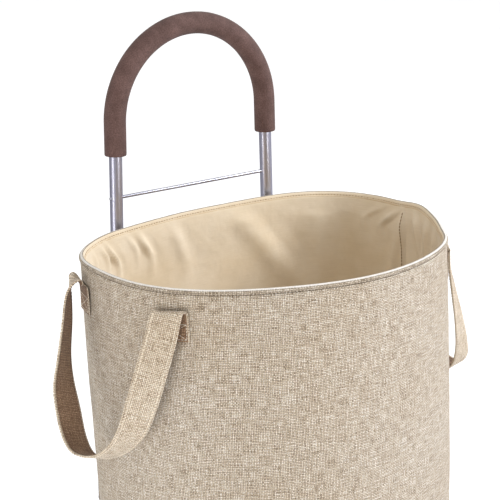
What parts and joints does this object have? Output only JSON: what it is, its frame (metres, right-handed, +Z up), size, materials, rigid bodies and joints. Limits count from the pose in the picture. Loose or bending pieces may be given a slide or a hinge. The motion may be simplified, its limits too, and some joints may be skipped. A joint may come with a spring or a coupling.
{
  "type": "laundry cart",
  "caption": "Two-wheeled laundry cart: stiff D-shaped linen bag with carry straps, on a steel tube frame with an arched foam-covered pull handle.",
  "frame": {"origin": "on the floor, under the middle of the cart's bounding box", "axes": "+Z up, +Y towards the handle and the person who pulls it, X across the cart"},
  "size_m": [0.597, 0.4554, 0.8873],
  "materials": {
    "silver_tube": "satin silver enamel on steel tube",
    "bright_rod": "bright drawn steel wire",
    "foam": "matte closed-cell foam, dark brown",
    "fastener": "zinc plated",
    "brown_plastic": "fine-grained moulded plastic, dark brown",
    "axle_steel": "ground steel bar",
    "washer": "plain nylon",
    "foot_rubber": "matte rubber",
    "wheel_plastic": "moulded plastic, dark brown",
    "tyre": "matte solid tyre",
    "linen": "heathered linen weave",
    "linen_hem": "heathered linen weave, folded",
    "strap_linen": "heathered linen weave, doubled and top-stitched",
    "lining": "plain thin cotton lining",
    "stiffener": "thin flexible sheet",
    "board": "stiff bottom board",
    "brown_tape": "hook-and-loop tape, dark brown"
  },
  "bodies": {
    "frame": {"handle_tube": "silver_tube", "foam_grip": "foam", "upper_cross_rod": "bright_rod", "lower_cross_rod": "bright_rod", "lower_leg_left": "silver_tube", "lower_leg_right": "silver_tube", "leg_screws": "fastener", "leg_nuts": "fastener", "bracket_screws": "fastener", "bracket_nuts": "fastener", "wheel_bracket_left": "brown_plastic", "wheel_bracket_right": "brown_plastic", "axle": "axle_steel", "axle_caps": "brown_plastic", "axle_washers": "washer", "base_rail": "silver_tube", "base_wires": "bright_rod", "front_stand": "silver_tube", "front_foot_left": "foot_rubber", "front_foot_right": "foot_rubber"},
    "wheel_left": {"wheel_centre_left": "wheel_plastic", "tyre_left": "tyre"},
    "wheel_right": {"wheel_centre_right": "wheel_plastic", "tyre_right": "tyre"},
    "bag": {"bag_shell": "linen", "bag_floor_cloth": "linen", "wall_stiffener": "stiffener", "bottom_board": "board", "lining_floor": "lining", "lining_wall": "lining", "rim_wire": "bright_rod", "lining_piping": "lining", "rim_hem": "linen_hem", "strap_tab_left_front": "strap_linen", "strap_tab_left_back": "strap_linen", "strap_tab_right_front": "strap_linen", "strap_tab_right_back": "strap_linen", "leg_loop_left": "brown_tape", "leg_loop_right": "brown_tape"},
    "strap_left": {"carry_strap_left": "strap_linen"},
    "strap_right": {"carry_strap_right": "strap_linen"}
  },
  "joints": [
    {"name": "wheel_left_spin", "type": "hinge", "parent": "frame", "child": "wheel_left", "pos_m": [-0.1633, 0.1628, 0.065], "axis": [1, 0, 0], "continuous": true},
    {"name": "wheel_right_spin", "type": "hinge", "parent": "frame", "child": "wheel_right", "pos_m": [0.1633, 0.1628, 0.065], "axis": [1, 0, 0], "continuous": true},
    {"name": "bag_lift", "type": "slide", "parent": "frame", "child": "bag", "axis": [0, 0, 1], "range_m": [0, 0.15]},
    {"name": "strap_left_swing", "type": "hinge", "parent": "bag", "child": "strap_left", "pos_m": [-0.23082, -0.03069, 0.6172], "axis": [-0.1813, 0.9834, 0], "range_deg": [0, 150]},
    {"name": "strap_right_swing", "type": "hinge", "parent": "bag", "child": "strap_right", "pos_m": [0.23082, -0.03069, 0.6172], "axis": [-0.1813, -0.9834, 0], "range_deg": [0, 150]}
  ]
}
